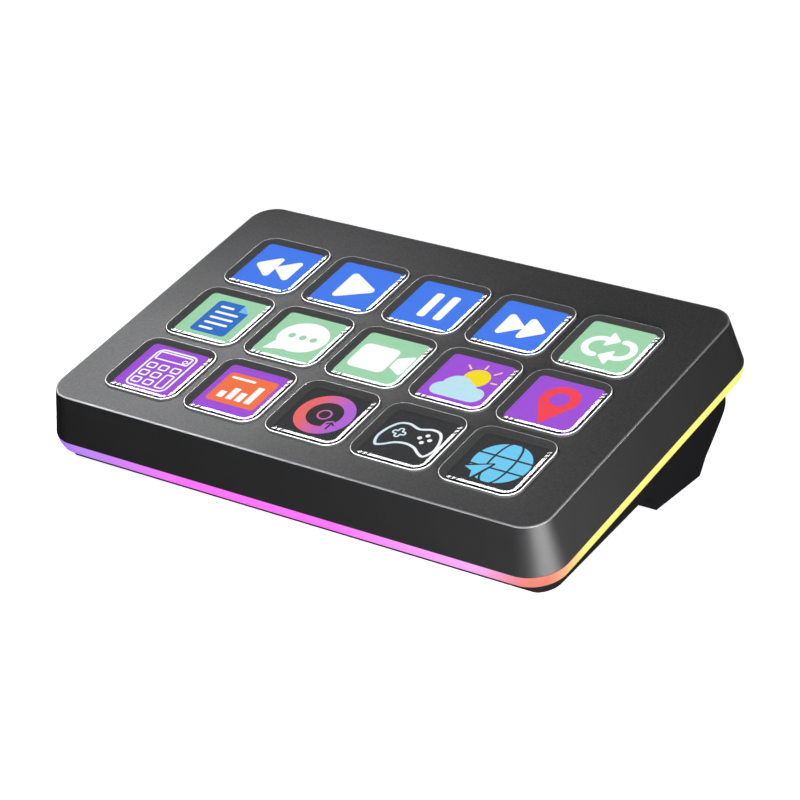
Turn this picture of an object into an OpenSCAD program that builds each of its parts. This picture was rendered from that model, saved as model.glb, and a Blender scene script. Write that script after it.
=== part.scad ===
// Stream controller: a sloping desk deck with fifteen clear picture keys over one display,
// a ring of light between its two shells and a moulded foot under its back.
// Millimetres, +X to the right, +Y to the back, +Z up. The origin lies on the desk, under
// the middle of the outline. The deck is drawn flat, with its top face at height 0 and its
// middle at the centre, and deck_frame() then tips it up and stands it on its pads.

/* [Top face] */
// Room between the display carrier and the top face's side edges
side_room = 5.85; // [5:0.05:12]
// Room between the carrier and the front edge
front_room = 3.15; // [2.8:0.05:6]
// Room between the carrier and the back edge
back_room = 7.85; // [5:0.05:12]
// Corner radius of the top face
face_r = 5.5; // [5.2:0.1:6.5]
// Slope of the top face above the desk, in degrees
tilt = 11.3; // [10.8:0.1:12.5]
// Thickness of the top plate
plate_t = 1.3; // [1.1:0.05:1.5]
// Chamfer round the top face
edge_cut = 0.35; // [0.2:0.05:0.6]

/* [Side walls] */
// Height of the sloping side wall
wall_h = 10.1; // [9.6:0.1:12]
// How far the side wall leans out from top to bottom
wall_flare = 2.1; // [1.6:0.1:2.8]
// Thickness of the side wall
wall_t = 1.8; // [1.6:0.1:2]

/* [Keys] */
// Width and depth of a key cap
key_size = 18.1; // [15:0.1:22]
// Space between key caps
key_space = 2.1; // [1.8:0.05:4]
// Corner radius of a key cap
key_r = 3.4; // [3:0.1:4]
// Height of a key's rim above the top face
key_proud = 0.65; // [0.3:0.05:1]
// Travel of a key
key_travel = 1.0; // [0.6:0.05:1.2]
// Gap between a key and its window
key_gap = 0.12; // [0.08:0.01:0.16]
// Width of the flat rim round a key's top
rim_w = 0.9; // [0.6:0.05:1.2]
// Width of the slope inside the rim
bevel_w = 0.9; // [0.5:0.05:1.2]
// Depth of the dished key top under its rim
dish = 0.35; // [0.1:0.05:0.6]
// Thickness of the clear middle of a key
lens_t = 1.2; // [0.8:0.05:1.3]
// Width of a key's skirt under the lens
skirt_w = 1.6; // [1.2:0.1:2]
// Width of the flange that holds a key under the plate
flange_w = 0.5; // [0.35:0.05:0.55]
// Thickness of that flange
flange_t = 0.5; // [0.4:0.05:0.7]

/* [Display stack] */
// Border of the display panel round the fields of the keys
panel_edge = 0.9; // [0.5:0.05:3]
// Thickness of the display panel
panel_t = 2.6; // [2.2:0.1:3]
// Thickness of the rubber mat's sheet
mat_t = 0.4; // [0.3:0.05:0.5]
// Thickness of the switch board
lattice_t = 0.8; // [0.6:0.1:1]
// Wall and floor of the display carrier
carrier_t = 1.2; // [1:0.1:1.3]

/* [Light ring] */
// Height of the lit band
ring_h = 2.75; // [2.4:0.05:3.2]
// How far the lit band curves in towards its foot
ring_lean = 0.7; // [0.3:0.05:1]
// Thickness of the ring's lip inside the side wall
lip_t = 0.8; // [0.6:0.05:0.9]
// Height of that lip
lip_h = 1.5; // [1:0.1:1.8]

/* [Bottom cover] */
// How far the cover stands in from the top face's edge
base_inset = 0.55; // [0.3:0.05:0.6]
// How far its back stands in from the top face's edge
back_inset = 3.8; // [3:0.1:4.5]
// Height of the cover under the light ring, at the front
base_h = 2.6; // [2.4:0.05:3.2]
// Slope of its underside against the top face, in degrees
base_slope = 3.9; // [3:0.1:4.5]
// Wall of the cover
base_t = 1.8; // [1.6:0.05:2]
// Where the arch in front of the foot begins, behind the middle
arch_v = -3.8; // [-5:0.1:-3]
// Length of the foot's flat sole
sole_len = 16.7; // [15:0.1:17.5]
// Run of the foot's steep heel
heel_run = 3.0; // [2:0.1:4]
// Rise of that heel
heel_rise = 2.8; // [2:0.1:3.5]
// How far below the light ring the back bends upright
back_bend = 3.35; // [2.8:0.05:4]

/* [Feet] */
// Length of a rubber pad
pad_w = 22; // [14:0.5:24]
// Width of a rubber pad
pad_d = 6; // [4.5:0.1:7]
// How far the pads stand below the sole
pad_proud = 0.5; // [0.3:0.05:0.8]
// Distance of the pads' centres from the side edges
pad_in = 17.5; // [15:0.5:30]

/* [Electronics] */
// Width of the main board
board_w = 84; // [80:0.5:88]
// Thickness of the main board
board_t = 1.2; // [1:0.1:1.6]
// Depth of the socket's centre under the top face
port_drop = 17.0; // [16.8:0.1:17.4]
// Width of the recess round the socket
recess_w = 13; // [12:0.1:15]
// Height of that recess
recess_h = 7.5; // [6.8:0.1:8]

/* [Hidden] */
$fn = 48;
key_cols = 5;
key_rows = 3;
KEYS = [for (row = [1:key_rows], col = [1:key_cols]) str("key_cap_", row, "_", col)];
SINGLES = [
    "top_shell", "light_ring", "bottom_cover", "dome_mat", "switch_board", "display_panel",
    "display_carrier", "carrier_screws", "main_board", "board_chips", "board_screws",
    "ribbon_sockets", "display_ribbon", "key_ribbon", "usb_socket", "led_bars", "leds",
    "front_pads", "rear_pads", "case_screws"
];

// Overrun of every cut past the face that it opens
over = 1;
// Gap between shells and pieces that are seated on each other
seam = 0.05;

// Plan of the flat deck, from the keys outwards
key_pitch = key_size + key_space;
panel_w = key_cols * key_pitch + 2 * panel_edge;
panel_d = key_rows * key_pitch + 2 * panel_edge;
carrier_gap = 0.1;
carrier_w = panel_w + 2 * (carrier_gap + carrier_t);
carrier_d = panel_d + 2 * (carrier_gap + carrier_t);
face_w = carrier_w + 2 * side_room;
face_d = carrier_d + front_room + back_room;
grid_shift = (back_room - front_room) / 2;
pad_x = face_w / 2 - pad_in;

// Heights in the flat deck
plate_under = -plate_t;
flange_top = plate_under - seam;
cap_foot = flange_top - flange_t;
lens_top = key_proud - dish;
mat_top = cap_foot - key_travel - 3 * seam;
mat_foot = mat_top - mat_t;
lattice_foot = mat_foot - lattice_t;
panel_top = lattice_foot - seam;
panel_foot = panel_top - panel_t;
carrier_floor = panel_foot - seam;
carrier_foot = carrier_floor - carrier_t;
seat_z = -wall_h - ring_h;
usb_w = 8.94;
usb_h = 3.26;
usb_len = 7.3;
usb_wall = 0.3;
board_foot = -port_drop + usb_h / 2;
board_top = board_foot + board_t;

// Ring and spigot, measured inwards from the top face's edge
ring_shelf = 0.3;
lip_out = wall_t + seam - wall_flare * (1 - lip_h / wall_h);
lip_in = max(lip_out + lip_t, base_inset + ring_shelf);
spigot_in = lip_in + seam;
spigot_h = 1.2;
spigot_top = seat_z + spigot_h;
spigot_w = face_w - 2 * spigot_in;
spigot_d = face_d - 2 * spigot_in;
spigot_r = face_r - spigot_in;

// Side outline of the bottom cover
tray_front = -face_d / 2 + base_inset;
tray_back = face_d / 2 - back_inset;
tray_w = face_w - 2 * base_inset;
tray_d = tray_back - tray_front;
tray_v = (tray_back + tray_front) / 2;
tray_r = face_r - base_inset;
toe_r = 1.0;
toe_v = tray_front + toe_r;
function base_under(v) = seat_z - base_h - (v - tray_front) * tan(base_slope);
sole_drop = -base_under(toe_v) - toe_v * tan(tilt);
function sole(v) = -sole_drop - v * tan(tilt);
arch_r = (base_under(arch_v) - sole(arch_v)) / (1 - tan(tilt));
sole_front = arch_v + arch_r;
sole_back = sole_front + sole_len;
heel_v = sole_back + heel_run;
heel_z = sole(sole_back) + heel_rise;
desk_drop = sole_drop + pad_proud / cos(tilt);

// Pads
front_pad_t = 1.8;
rear_pad_t = 1.1;
front_pad_in = 4.4;
front_pad_v = tray_front + front_pad_in;
rear_pad_v = (sole_front + sole_back) / 2;

// Socket recess in the sloping back
recess_depth = 6.7;
recess_r = 1.5;
recess_floor = tray_back - recess_depth;
mouth_set = 0.2;
usb_mouth = recess_floor - mouth_set;

// Main board, behind the arch and in front of the recess
board_reach = 2.2;
board_gap = 0.3;
board_front = arch_v - board_reach;
board_back = recess_floor - base_t - board_gap;
board_d = board_back - board_front;
board_v = (board_back + board_front) / 2;
board_r = 1.5;
post_in = 5;
post_run = 3;
post_x = board_w / 2 - post_in;
post_front = sole_front + post_run;
post_back = board_back - post_in;
post_r = 2.4;

// Small screws: clearance, pilot and head
screw_r = 1.0;
screw_clear = 0.1;
pilot_gap = 0.05;
head_r = 1.8;
head_h = 1.3;
head_clear = 0.2;
drive_w = 0.5;
drive_l = 2.2;
drive_depth = 0.6;

// Screws bite this far into their bosses, whose bores go on a little
case_bite = 4;
board_bite = 4;
ear_bite = 2.2;
bore_spare = 0.8;

// Case screws stand in the corners
case_in = 4;
case_x = face_w / 2 - case_in;
case_front = case_in - face_d / 2;
case_back = tray_back - case_in;
boss_r = 1.8;
boss_up = 0.8;
boss_foot = boss_up - wall_h;
column_wall = 0.9;
column_r = head_r + head_clear + column_wall;

// Carrier ears and their bosses stand at the left and right
carrier_r = 3;
pocket_r = 1;
window_r = 1.6;
ear_in = 2.95;
ear_x = face_w / 2 - ear_in;
ear_v = key_pitch;
ear_r = 1.8;
ear_t = 1.2;
ear_boss_r = 1.7;
ear_boss_h = 3.6;
ear_boss_foot = plate_under - ear_boss_h;
ear_screw_r = 0.8;
ear_head_r = 1.3;
ear_head_h = 0.9;
floor_rib = 6;
floor_cols = 3;
floor_rows = 2;

// Ribbons
ribbon_t = 0.2;
ribbon_w = 18;
ribbon_slot = 0.4;
ribbon_loop = 2.4;
ribbon_turn_v = panel_d / 2 - grid_shift + ribbon_loop;
display_run = 0.5;
key_run = 1.1;
fold_lead = 3;
connector_h = 1.9;
connector_d = 4;
connector_side = 1.5;
connector_line_h = 1.0;
connector_line = board_top + connector_line_h;
connector_shift = 2;
display_ribbon_x = 0;
key_ribbon_share = 0.357;
key_ribbon_x = -key_ribbon_share * board_w;

// Light bars
led_gap = 0.14;
led_t = 0.75;
bar_t = 0.25;
bar_in = lip_in + led_gap + led_t + bar_t;
bar_h = 2.2;
bar_end = 8;
bar_short = 3;
led_w = 2.2;
led_h = 1.2;
led_pitch = 12.6;

BLACK = [0.13, 0.13, 0.14];
GREY = [0.24, 0.24, 0.25];
CLEAR = [0.82, 0.88, 0.92, 0.45];
GLOW = [0.93, 0.55, 0.85, 0.9];
SILICONE = [0.12, 0.12, 0.13];
NYLON = [0.75, 0.75, 0.76];
BOARD = [0.07, 0.22, 0.14];
STEEL = [0.72, 0.73, 0.75];
GLASS = [0.06, 0.07, 0.1];
FOIL = [0.86, 0.63, 0.28];
CHIP = [0.1, 0.1, 0.11];
RUBBER = [0.09, 0.09, 0.09];

// Points of an arc, from angle a0 to a1
function arc(cx, cy, r, a0, a1, n = 12) =
    [for (i = [0:n]) let (a = a0 + (a1 - a0) * i / n) [cx + r * cos(a), cy + r * sin(a)]];

// Points of a curve from a to b that leaves and arrives along the lines to c
function bend(a, c, b, n = 12) =
    [for (i = [0:n]) let (t = i / n) (1 - t) * (1 - t) * a + 2 * t * (1 - t) * c + t * t * b];

// Tips the flat deck up and stands it on the desk
module deck_frame() {
    translate([0, -wall_h * sin(tilt), desk_drop * cos(tilt)])
        rotate([tilt, 0, 0])
            children();
}

// A level frame on the desk, under the deck's line v
module desk_frame(v) {
    translate([0, v, -desk_drop - v * tan(tilt)])
        rotate([-tilt, 0, 0])
            children();
}

// An upright plate with round corners, standing on height 0
module slab(w, d, h, r) {
    translate([r - w / 2, -d / 2, 0])
        cube([w - 2 * r, d, h]);
    translate([-w / 2, r - d / 2, 0])
        cube([w, d - 2 * r, h]);
    for (sx = [-1, 1], sy = [-1, 1])
        translate([sx * (w / 2 - r), sy * (d / 2 - r), 0])
            cylinder(r = r, h = h);
}

// An upright plate with half round ends
module pill(w, d, h) {
    translate([(d - w) / 2, -d / 2, 0])
        cube([w - d, d, h]);
    for (sx = [-1, 1])
        translate([sx * (w - d) / 2, 0, 0])
            cylinder(r = d / 2, h = h);
}

// Carries an outline round a rectangle with round corners. The outline's x runs outwards
// from the corners' centres and its y is the height.
module band(w, d, r) {
    dx = w / 2 - r;
    dy = d / 2 - r;
    for (k = [0:3]) {
        across = k % 2 == 0 ? dx : dy;
        along = k % 2 == 0 ? dy : dx;
        rotate([0, 0, 90 * k]) {
            translate([across, along, 0])
                rotate([90, 0, 0])
                    linear_extrude(height = 2 * along)
                        children();
            translate([across, along, 0])
                rotate_extrude(angle = 90)
                    children();
        }
    }
}

// Puts a child at each key's centre
module at_key(col, row) {
    x = (col - (key_cols + 1) / 2) * key_pitch;
    v = ((key_rows + 1) / 2 - row) * key_pitch - grid_shift;
    translate([x, v, 0])
        children();
}

module at_keys() {
    for (row = [1:key_rows], col = [1:key_cols])
        at_key(col, row)
            children();
}

module at_corners(x, v_front, v_back) {
    for (sx = [-1, 1], v = [v_front, v_back])
        translate([sx * x, v, 0])
            children();
}

// A pan head screw that points up, with its head's bearing face at height 0
module screw(r, length, hr, hh) {
    difference() {
        union() {
            cylinder(r = r, h = length);
            translate([0, 0, -hh])
                cylinder(r = hr, h = hh);
        }
        for (turn = [0, 90])
            rotate([0, 0, turn])
                translate([-drive_l / 2 * hr / head_r, -drive_w / 2, -hh - over])
                    cube([drive_l * hr / head_r, drive_w, drive_depth * hh / head_h + over]);
    }
}

// A side outline in depth and height, carried across the width
module across_width(w) {
    translate([-w / 2, 0, 0])
        rotate([90, 0, 90])
            linear_extrude(height = w)
                children();
}

module top_shell() {
    foot_x = face_r + wall_flare;
    window = key_size + 2 * key_gap;
    color(GREY)
        deck_frame()
            difference() {
                union() {
                    band(face_w, face_d, face_r)
                        polygon([
                            [0, 0], [face_r - edge_cut, 0], [face_r, -edge_cut],
                            [foot_x, -wall_h], [foot_x - wall_t, -wall_h],
                            [face_r - wall_t, plate_under], [0, plate_under]
                        ]);
                    translate([face_r - face_w / 2, face_r - face_d / 2, plate_under])
                        cube([face_w - 2 * face_r, face_d - 2 * face_r, plate_t]);
                    at_corners(case_x, case_front, case_back)
                        translate([0, 0, boss_foot])
                            cylinder(r = boss_r, h = plate_under - boss_foot + seam);
                    at_corners(ear_x, -ear_v - grid_shift, ear_v - grid_shift)
                        translate([0, 0, ear_boss_foot])
                            cylinder(r = ear_boss_r, h = plate_under - ear_boss_foot + seam);
                }
                at_keys()
                    translate([0, 0, plate_under - over])
                        slab(window, window, plate_t + 2 * over, key_r + key_gap);
                at_corners(case_x, case_front, case_back)
                    translate([0, 0, boss_foot - over])
                        cylinder(r = screw_r + pilot_gap, h = case_bite + bore_spare + over);
                at_corners(ear_x, -ear_v - grid_shift, ear_v - grid_shift)
                    translate([0, 0, ear_boss_foot - over])
                        cylinder(r = ear_screw_r + pilot_gap, h = ear_bite + bore_spare + over);
            }
}

// A clear cap: a flat rim, a slope down to the dished lens, a skirt and a flange
module key_cap(col, row) {
    lens_r = key_r - rim_w - bevel_w;
    lens_under = lens_top - lens_t;
    round_off = rim_w / 4;
    color(CLEAR)
        deck_frame()
            at_key(col, row) {
                band(key_size, key_size, key_r)
                    polygon([
                        [0, lens_top], [lens_r, lens_top], [key_r - rim_w, key_proud],
                        [key_r - round_off, key_proud], [key_r, key_proud - round_off],
                        [key_r, flange_top], [key_r + flange_w, flange_top],
                        [key_r + flange_w, cap_foot], [key_r - skirt_w, cap_foot],
                        [key_r - skirt_w, lens_under], [0, lens_under]
                    ]);
                translate([key_r - key_size / 2, key_r - key_size / 2, lens_under])
                    cube([key_size - 2 * key_r, key_size - 2 * key_r, lens_t]);
            }
}

// The ring's lit face leans in by a square law, and its lip stands up inside the wall
module light_ring() {
    steps = 6;
    top_z = -wall_h - seam;
    top_x = face_r + wall_flare - seam;
    foot_z = seat_z + seam;
    lit_h = top_z - foot_z;
    lip_z = lip_h - wall_h;
    in_x = face_r - lip_in;
    out_x = face_r - lip_out;
    color(GLOW)
        deck_frame()
            band(face_w, face_d, face_r)
                polygon(concat(
                    [[in_x, lip_z], [out_x, lip_z], [out_x, top_z]],
                    [for (i = [0:steps]) let (t = i / steps) [top_x - ring_lean * t * t, top_z - lit_h * t]],
                    [[in_x, foot_z]]
                ));
}

// Side outline of the bottom cover, open to height 0
module base_outline() {
    polygon(concat(
        [[tray_front, 0]],
        arc(toe_v, base_under(toe_v) + toe_r, toe_r, 180, 270 - base_slope, 6),
        arc(arch_v, sole(sole_front), arch_r, 90, 0),
        [[sole_back, sole(sole_back)]],
        bend([heel_v, heel_z], [tray_back, seat_z - back_bend], [tray_back, seat_z]),
        [[tray_back, 0]]
    ));
}

// The recess that a plug reaches the socket through, grown by a margin on its closed sides
module port_recess(margin) {
    w = recess_w + 2 * margin;
    h = recess_h + 2 * margin;
    translate([0, recess_floor - margin, -port_drop])
        rotate([-90, 0, 0])
            slab(w, h, recess_depth + over + margin, recess_r + margin);
}

module pad_pocket(v, t, gap) {
    for (sx = [-1, 1])
        desk_frame(v)
            translate([sx * pad_x, 0, gap > 0 ? -over : 0])
                pill(pad_w + 2 * gap, pad_d + 2 * gap, t + (gap > 0 ? over : 0));
}

// A tray with an arched foot moulded in, its spigot, screw columns and board posts
module bottom_cover() {
    deep = -sole(heel_v) + over;
    color(BLACK)
        deck_frame()
            difference() {
                union() {
                    intersection() {
                        across_width(tray_w)
                            base_outline();
                        translate([0, tray_v, -deep])
                            slab(tray_w, tray_d, deep + seat_z, tray_r);
                    }
                    translate([0, 0, seat_z])
                        slab(spigot_w, spigot_d, spigot_h, spigot_r);
                    at_corners(case_x, case_front, case_back)
                        translate([0, 0, spigot_top - seam])
                            cylinder(r = boss_r, h = boss_foot - spigot_top);
                }
                difference() {
                    intersection() {
                        across_width(tray_w)
                            offset(delta = -base_t)
                                base_outline();
                        translate([0, tray_v, -deep])
                            slab(tray_w - 2 * base_t, tray_d - 2 * base_t, deep, tray_r - base_t);
                    }
                    port_recess(base_t);
                    at_corners(post_x, post_front, post_back)
                        translate([0, 0, -deep])
                            cylinder(r = post_r, h = deep + board_foot);
                    at_corners(case_x, case_front, case_back)
                        translate([0, 0, -deep])
                            cylinder(r = column_r, h = deep + spigot_top + 2 * over);
                }
                port_recess(0);
                translate([0, recess_floor + over, -port_drop])
                    rotate([90, 0, 0])
                        pill(usb_w + 2 * screw_clear, usb_h + 2 * screw_clear, base_t + 2 * over);
                at_corners(post_x, post_front, post_back)
                    translate([0, 0, board_foot - board_bite - bore_spare])
                        cylinder(r = screw_r + pilot_gap, h = board_bite + bore_spare + over);
                at_corners(case_x, case_front, case_back) {
                    translate([0, 0, -deep])
                        cylinder(r = screw_r + screw_clear, h = deep);
                    translate([0, 0, -deep])
                        cylinder(r = head_r + head_clear, h = deep + seat_z);
                }
                pad_pocket(front_pad_v, front_pad_t + seam, seam);
                pad_pocket(rear_pad_v, rear_pad_t + seam, seam);
            }
}

// Rubber mat: a sheet with a window under each key and a collar that its flange rests on
module dome_mat() {
    collar = key_size + 2 * flange_w - 2 * seam;
    collar_r = key_r + flange_w - seam;
    collar_t = 0.5;
    inside = collar - 2 * collar_t;
    window = key_size - skirt_w;
    color(SILICONE)
        deck_frame()
            difference() {
                union() {
                    translate([0, -grid_shift, mat_foot])
                        slab(panel_w, panel_d, mat_t, carrier_r);
                    at_keys()
                        translate([0, 0, mat_foot])
                            slab(collar, collar, cap_foot - seam - mat_foot, collar_r);
                }
                at_keys() {
                    translate([0, 0, mat_top])
                        slab(inside, inside, key_travel + over, collar_r - collar_t);
                    translate([0, 0, mat_foot - over])
                        slab(window, window, mat_t + 2 * over, key_r);
                }
            }
}

// Switch board: a lattice that frames each picture
module switch_board() {
    window = key_size - skirt_w - flange_w;
    color(BOARD)
        deck_frame()
            difference() {
                translate([0, -grid_shift, lattice_foot])
                    slab(panel_w, panel_d, lattice_t, carrier_r);
                at_keys()
                    translate([0, 0, lattice_foot - over])
                        slab(window, window, lattice_t + 2 * over, window_r);
            }
}

// Display: a metal-backed module with a glass that is a little smaller
module display_panel() {
    glass_step = 0.6;
    glass_t = 0.7;
    color(GLASS)
        deck_frame()
            translate([0, -grid_shift, 0]) {
                translate([0, 0, panel_foot])
                    slab(panel_w, panel_d, panel_t - glass_t, pocket_r);
                translate([0, 0, panel_top - glass_t])
                    slab(panel_w - 2 * glass_step, panel_d - 2 * glass_step, glass_t, pocket_r - glass_step);
            }
}

// Carrier: a ribbed tray that holds the display stack up against the plate
module display_carrier() {
    inner_w = panel_w + 2 * carrier_gap;
    inner_d = panel_d + 2 * carrier_gap;
    ear_reach = ear_x - carrier_w / 2 + carrier_t / 2;
    bay_w = (inner_w - floor_rib * (floor_cols + 1)) / floor_cols;
    bay_d = (inner_d - floor_rib * (floor_rows + 1)) / floor_rows;
    color(BLACK)
        deck_frame()
            translate([0, -grid_shift, 0])
                difference() {
                    union() {
                        translate([0, 0, carrier_foot])
                            slab(carrier_w, carrier_d, flange_top - carrier_foot, carrier_r);
                        for (sx = [-1, 1], sy = [-1, 1])
                            translate([sx * ear_x, sy * ear_v, ear_boss_foot - seam - ear_t]) {
                                cylinder(r = ear_r, h = ear_t);
                                translate([sx > 0 ? -ear_reach : 0, -ear_r, 0])
                                    cube([ear_reach, 2 * ear_r, ear_t]);
                            }
                    }
                    translate([0, 0, carrier_floor])
                        slab(inner_w, inner_d, over - carrier_floor, pocket_r);
                    for (i = [0:floor_cols - 1], j = [0:floor_rows - 1])
                        translate([
                            (i - (floor_cols - 1) / 2) * (bay_w + floor_rib),
                            (j - (floor_rows - 1) / 2) * (bay_d + floor_rib),
                            carrier_foot - over
                        ])
                            slab(bay_w, bay_d, carrier_t + 2 * over, window_r);
                    for (x = [display_ribbon_x, key_ribbon_x])
                        translate([x - ribbon_w / 2 - over, inner_d / 2 - over, carrier_foot - over])
                            cube([ribbon_w + 2 * over, carrier_t + 2 * over, over - carrier_foot + over]);
                    for (sx = [-1, 1], sy = [-1, 1])
                        translate([sx * ear_x, sy * ear_v, carrier_foot])
                            cylinder(r = ear_screw_r + screw_clear, h = -carrier_foot);
                }
}

module carrier_screws() {
    color(STEEL)
        deck_frame()
            at_corners(ear_x, -ear_v - grid_shift, ear_v - grid_shift)
                translate([0, 0, ear_boss_foot - seam - ear_t])
                    screw(ear_screw_r, ear_t + seam + ear_bite, ear_head_r, ear_head_h);
}

module main_board() {
    color(BOARD)
        deck_frame()
            difference() {
                translate([0, board_v, board_foot])
                    slab(board_w, board_d, board_t, board_r);
                at_corners(post_x, post_front, post_back)
                    translate([0, 0, board_foot - over])
                        cylinder(r = screw_r + screw_clear, h = board_t + 2 * over);
            }
}

// Chips, choke and crystal: place and size of each as shares of the board's width, depth
// and thickness
module board_chips() {
    chip_shares = [
        [0.2, 0.25, 0.12, 0.32, 0.8], [0.2, -0.2, 0.07, 0.16, 0.7], [0.33, -0.25, 0.05, 0.14, 1.6],
        [-0.36, -0.25, 0.05, 0.14, 1.6], [-0.22, -0.25, 0.08, 0.2, 0.7], [-0.13, 0.3, 0.04, 0.08, 0.6]
    ];
    color(CHIP)
        deck_frame()
            for (c = chip_shares)
                translate([(c[0] - c[2] / 2) * board_w, board_v + (c[1] - c[3] / 2) * board_d, board_top])
                    cube([c[2] * board_w, c[3] * board_d, c[4] * board_t]);
}

module board_screws() {
    color(STEEL)
        deck_frame()
            at_corners(post_x, post_front, post_back)
                translate([0, 0, board_top])
                    mirror([0, 0, 1])
                        screw(screw_r, board_t + board_bite, head_r, head_h);
}

// Side outline of a ribbon: out of the stack, round its back edge, forward under the
// carrier and down into its socket
module ribbon(x, leave_z, run_z, mouth_v) {
    fold_r = (leave_z - run_z) / 2;
    turn_r = (run_z - connector_line) / 2;
    turn_at = mouth_v - fold_lead;
    start = panel_d / 2 - grid_shift + seam;
    half = ribbon_t / 2;
    function side(s) = concat(
        [[start, leave_z + s]],
        arc(ribbon_turn_v, leave_z - fold_r, fold_r + s, 90, -90),
        arc(turn_at, run_z - turn_r, turn_r - s, 90, 270),
        [[mouth_v + connector_d / 2, connector_line + s]]
    );
    outer = side(half);
    inner = side(-half);
    color(FOIL)
        deck_frame()
            translate([x, 0, 0])
                across_width(ribbon_w)
                    polygon(concat(outer, [for (i = [len(inner) - 1:-1:0]) inner[i]]));
}

display_mouth_v = board_v - connector_shift / 2;
key_mouth_v = board_v + connector_shift;

module display_ribbon() {
    ribbon(display_ribbon_x, panel_foot + panel_t / 2, carrier_foot - display_run, display_mouth_v);
}

module key_ribbon() {
    ribbon(key_ribbon_x, lattice_foot + lattice_t / 2, carrier_foot - key_run, key_mouth_v);
}

module ribbon_sockets() {
    slot_share = 0.6;
    color(NYLON)
        deck_frame()
            for (place = [[display_ribbon_x, display_mouth_v], [key_ribbon_x, key_mouth_v]])
                translate([place[0], place[1], board_top])
                    difference() {
                        translate([-ribbon_w / 2 - connector_side, 0, 0])
                            cube([ribbon_w + 2 * connector_side, connector_d, connector_h]);
                        translate([-ribbon_w / 2 - seam, -over, connector_line - board_top - ribbon_slot / 2])
                            cube([ribbon_w + 2 * seam, connector_d * slot_share + over, ribbon_slot]);
                    }
}

// USB-C socket: a drawn shell with its tongue inside
module usb_socket() {
    tongue_w = 6.7;
    tongue_t = 0.7;
    back_t = 1.1;
    color(STEEL)
        deck_frame()
            translate([0, usb_mouth, -port_drop])
                rotate([90, 0, 0]) {
                    difference() {
                        pill(usb_w, usb_h, usb_len);
                        translate([0, 0, -over])
                            pill(usb_w - 2 * usb_wall, usb_h - 2 * usb_wall, usb_len - back_t + over);
                    }
                    translate([-tongue_w / 2, -tongue_t / 2, back_t])
                        cube([tongue_w, tongue_t, usb_len - 2 * back_t + seam]);
                }
}

// Light bars at the two ends and along the two long sides: half length, distance and turn
END_BAR = [face_d / 2 - bar_end - bar_short, face_w / 2 - bar_in];
LONG_BAR = [face_w / 2 - bar_end, face_d / 2 - bar_in];
BARS = [for (k = [0:3]) concat(k % 2 == 0 ? END_BAR : LONG_BAR, 90 * k)];

module led_bars() {
    color(BOARD)
        deck_frame()
            for (s = BARS)
                rotate([0, 0, s[2]])
                    translate([s[1], -s[0], spigot_top])
                        cube([bar_t, 2 * s[0], bar_h]);
}

module leds() {
    color("white")
        deck_frame()
            for (s = BARS) {
                count = floor(2 * (s[0] - led_w) / led_pitch) + 1;
                first = -(count - 1) / 2 * led_pitch - led_w / 2;
                rotate([0, 0, s[2]])
                    for (i = [0:count - 1])
                        translate([s[1] + bar_t, first + i * led_pitch, spigot_top + (bar_h - led_h) / 2])
                            cube([led_t, led_w, led_h]);
            }
}

module front_pads() {
    color(RUBBER)
        deck_frame()
            pad_pocket(front_pad_v, front_pad_t, 0);
}

module rear_pads() {
    color(RUBBER)
        deck_frame()
            pad_pocket(rear_pad_v, rear_pad_t, 0);
}

module case_screws() {
    color(STEEL)
        deck_frame()
            at_corners(case_x, case_front, case_back)
                translate([0, 0, seat_z])
                    screw(screw_r, boss_foot + case_bite - seat_z, head_r, head_h);
}

top_shell();
light_ring();
bottom_cover();
dome_mat();
switch_board();
display_panel();
display_carrier();
carrier_screws();
main_board();
board_chips();
board_screws();
ribbon_sockets();
display_ribbon();
key_ribbon();
usb_socket();
led_bars();
leds();
front_pads();
rear_pads();
case_screws();
for (row = [1:key_rows], col = [1:key_cols])
    key_cap(col, row);
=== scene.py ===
"""Looks of a desk stream controller: its shells, lit ring, clear keys, their pictures and the inside."""

from types import SimpleNamespace

import bmesh
import bpy
import numpy as np
from bpy.props import FloatProperty, FloatVectorProperty, PointerProperty
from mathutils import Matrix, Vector


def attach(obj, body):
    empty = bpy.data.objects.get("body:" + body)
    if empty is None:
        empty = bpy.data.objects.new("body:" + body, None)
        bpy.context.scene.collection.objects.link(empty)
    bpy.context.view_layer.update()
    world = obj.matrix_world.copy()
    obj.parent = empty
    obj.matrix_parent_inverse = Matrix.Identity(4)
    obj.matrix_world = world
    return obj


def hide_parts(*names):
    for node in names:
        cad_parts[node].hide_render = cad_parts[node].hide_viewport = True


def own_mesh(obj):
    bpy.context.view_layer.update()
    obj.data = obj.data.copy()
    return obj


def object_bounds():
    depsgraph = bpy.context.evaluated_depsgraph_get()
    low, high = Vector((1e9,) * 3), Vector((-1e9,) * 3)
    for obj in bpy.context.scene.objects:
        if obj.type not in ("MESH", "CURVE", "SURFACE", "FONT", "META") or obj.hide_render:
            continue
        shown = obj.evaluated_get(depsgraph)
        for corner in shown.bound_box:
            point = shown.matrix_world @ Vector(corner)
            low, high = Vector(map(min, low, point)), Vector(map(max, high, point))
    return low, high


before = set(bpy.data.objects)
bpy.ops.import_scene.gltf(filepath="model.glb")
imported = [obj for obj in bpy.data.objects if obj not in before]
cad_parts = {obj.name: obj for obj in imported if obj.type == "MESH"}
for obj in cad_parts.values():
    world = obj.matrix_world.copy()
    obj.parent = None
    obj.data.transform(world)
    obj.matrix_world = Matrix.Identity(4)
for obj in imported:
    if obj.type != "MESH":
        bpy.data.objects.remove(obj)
cad_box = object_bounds()

bl_info = {
    "name": "Stream controller",
    "version": (1, 0, 0),
    "blender": (4, 5, 0),
    "location": "3D View > Sidebar > Controller",
    "description": "Dresses a tilted desk controller with fifteen picture keys and a lit ring",
    "category": "Object",
}

MM = 0.001
ROWS = (1, 2, 3)
COLUMNS = (1, 2, 3, 4, 5)
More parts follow.
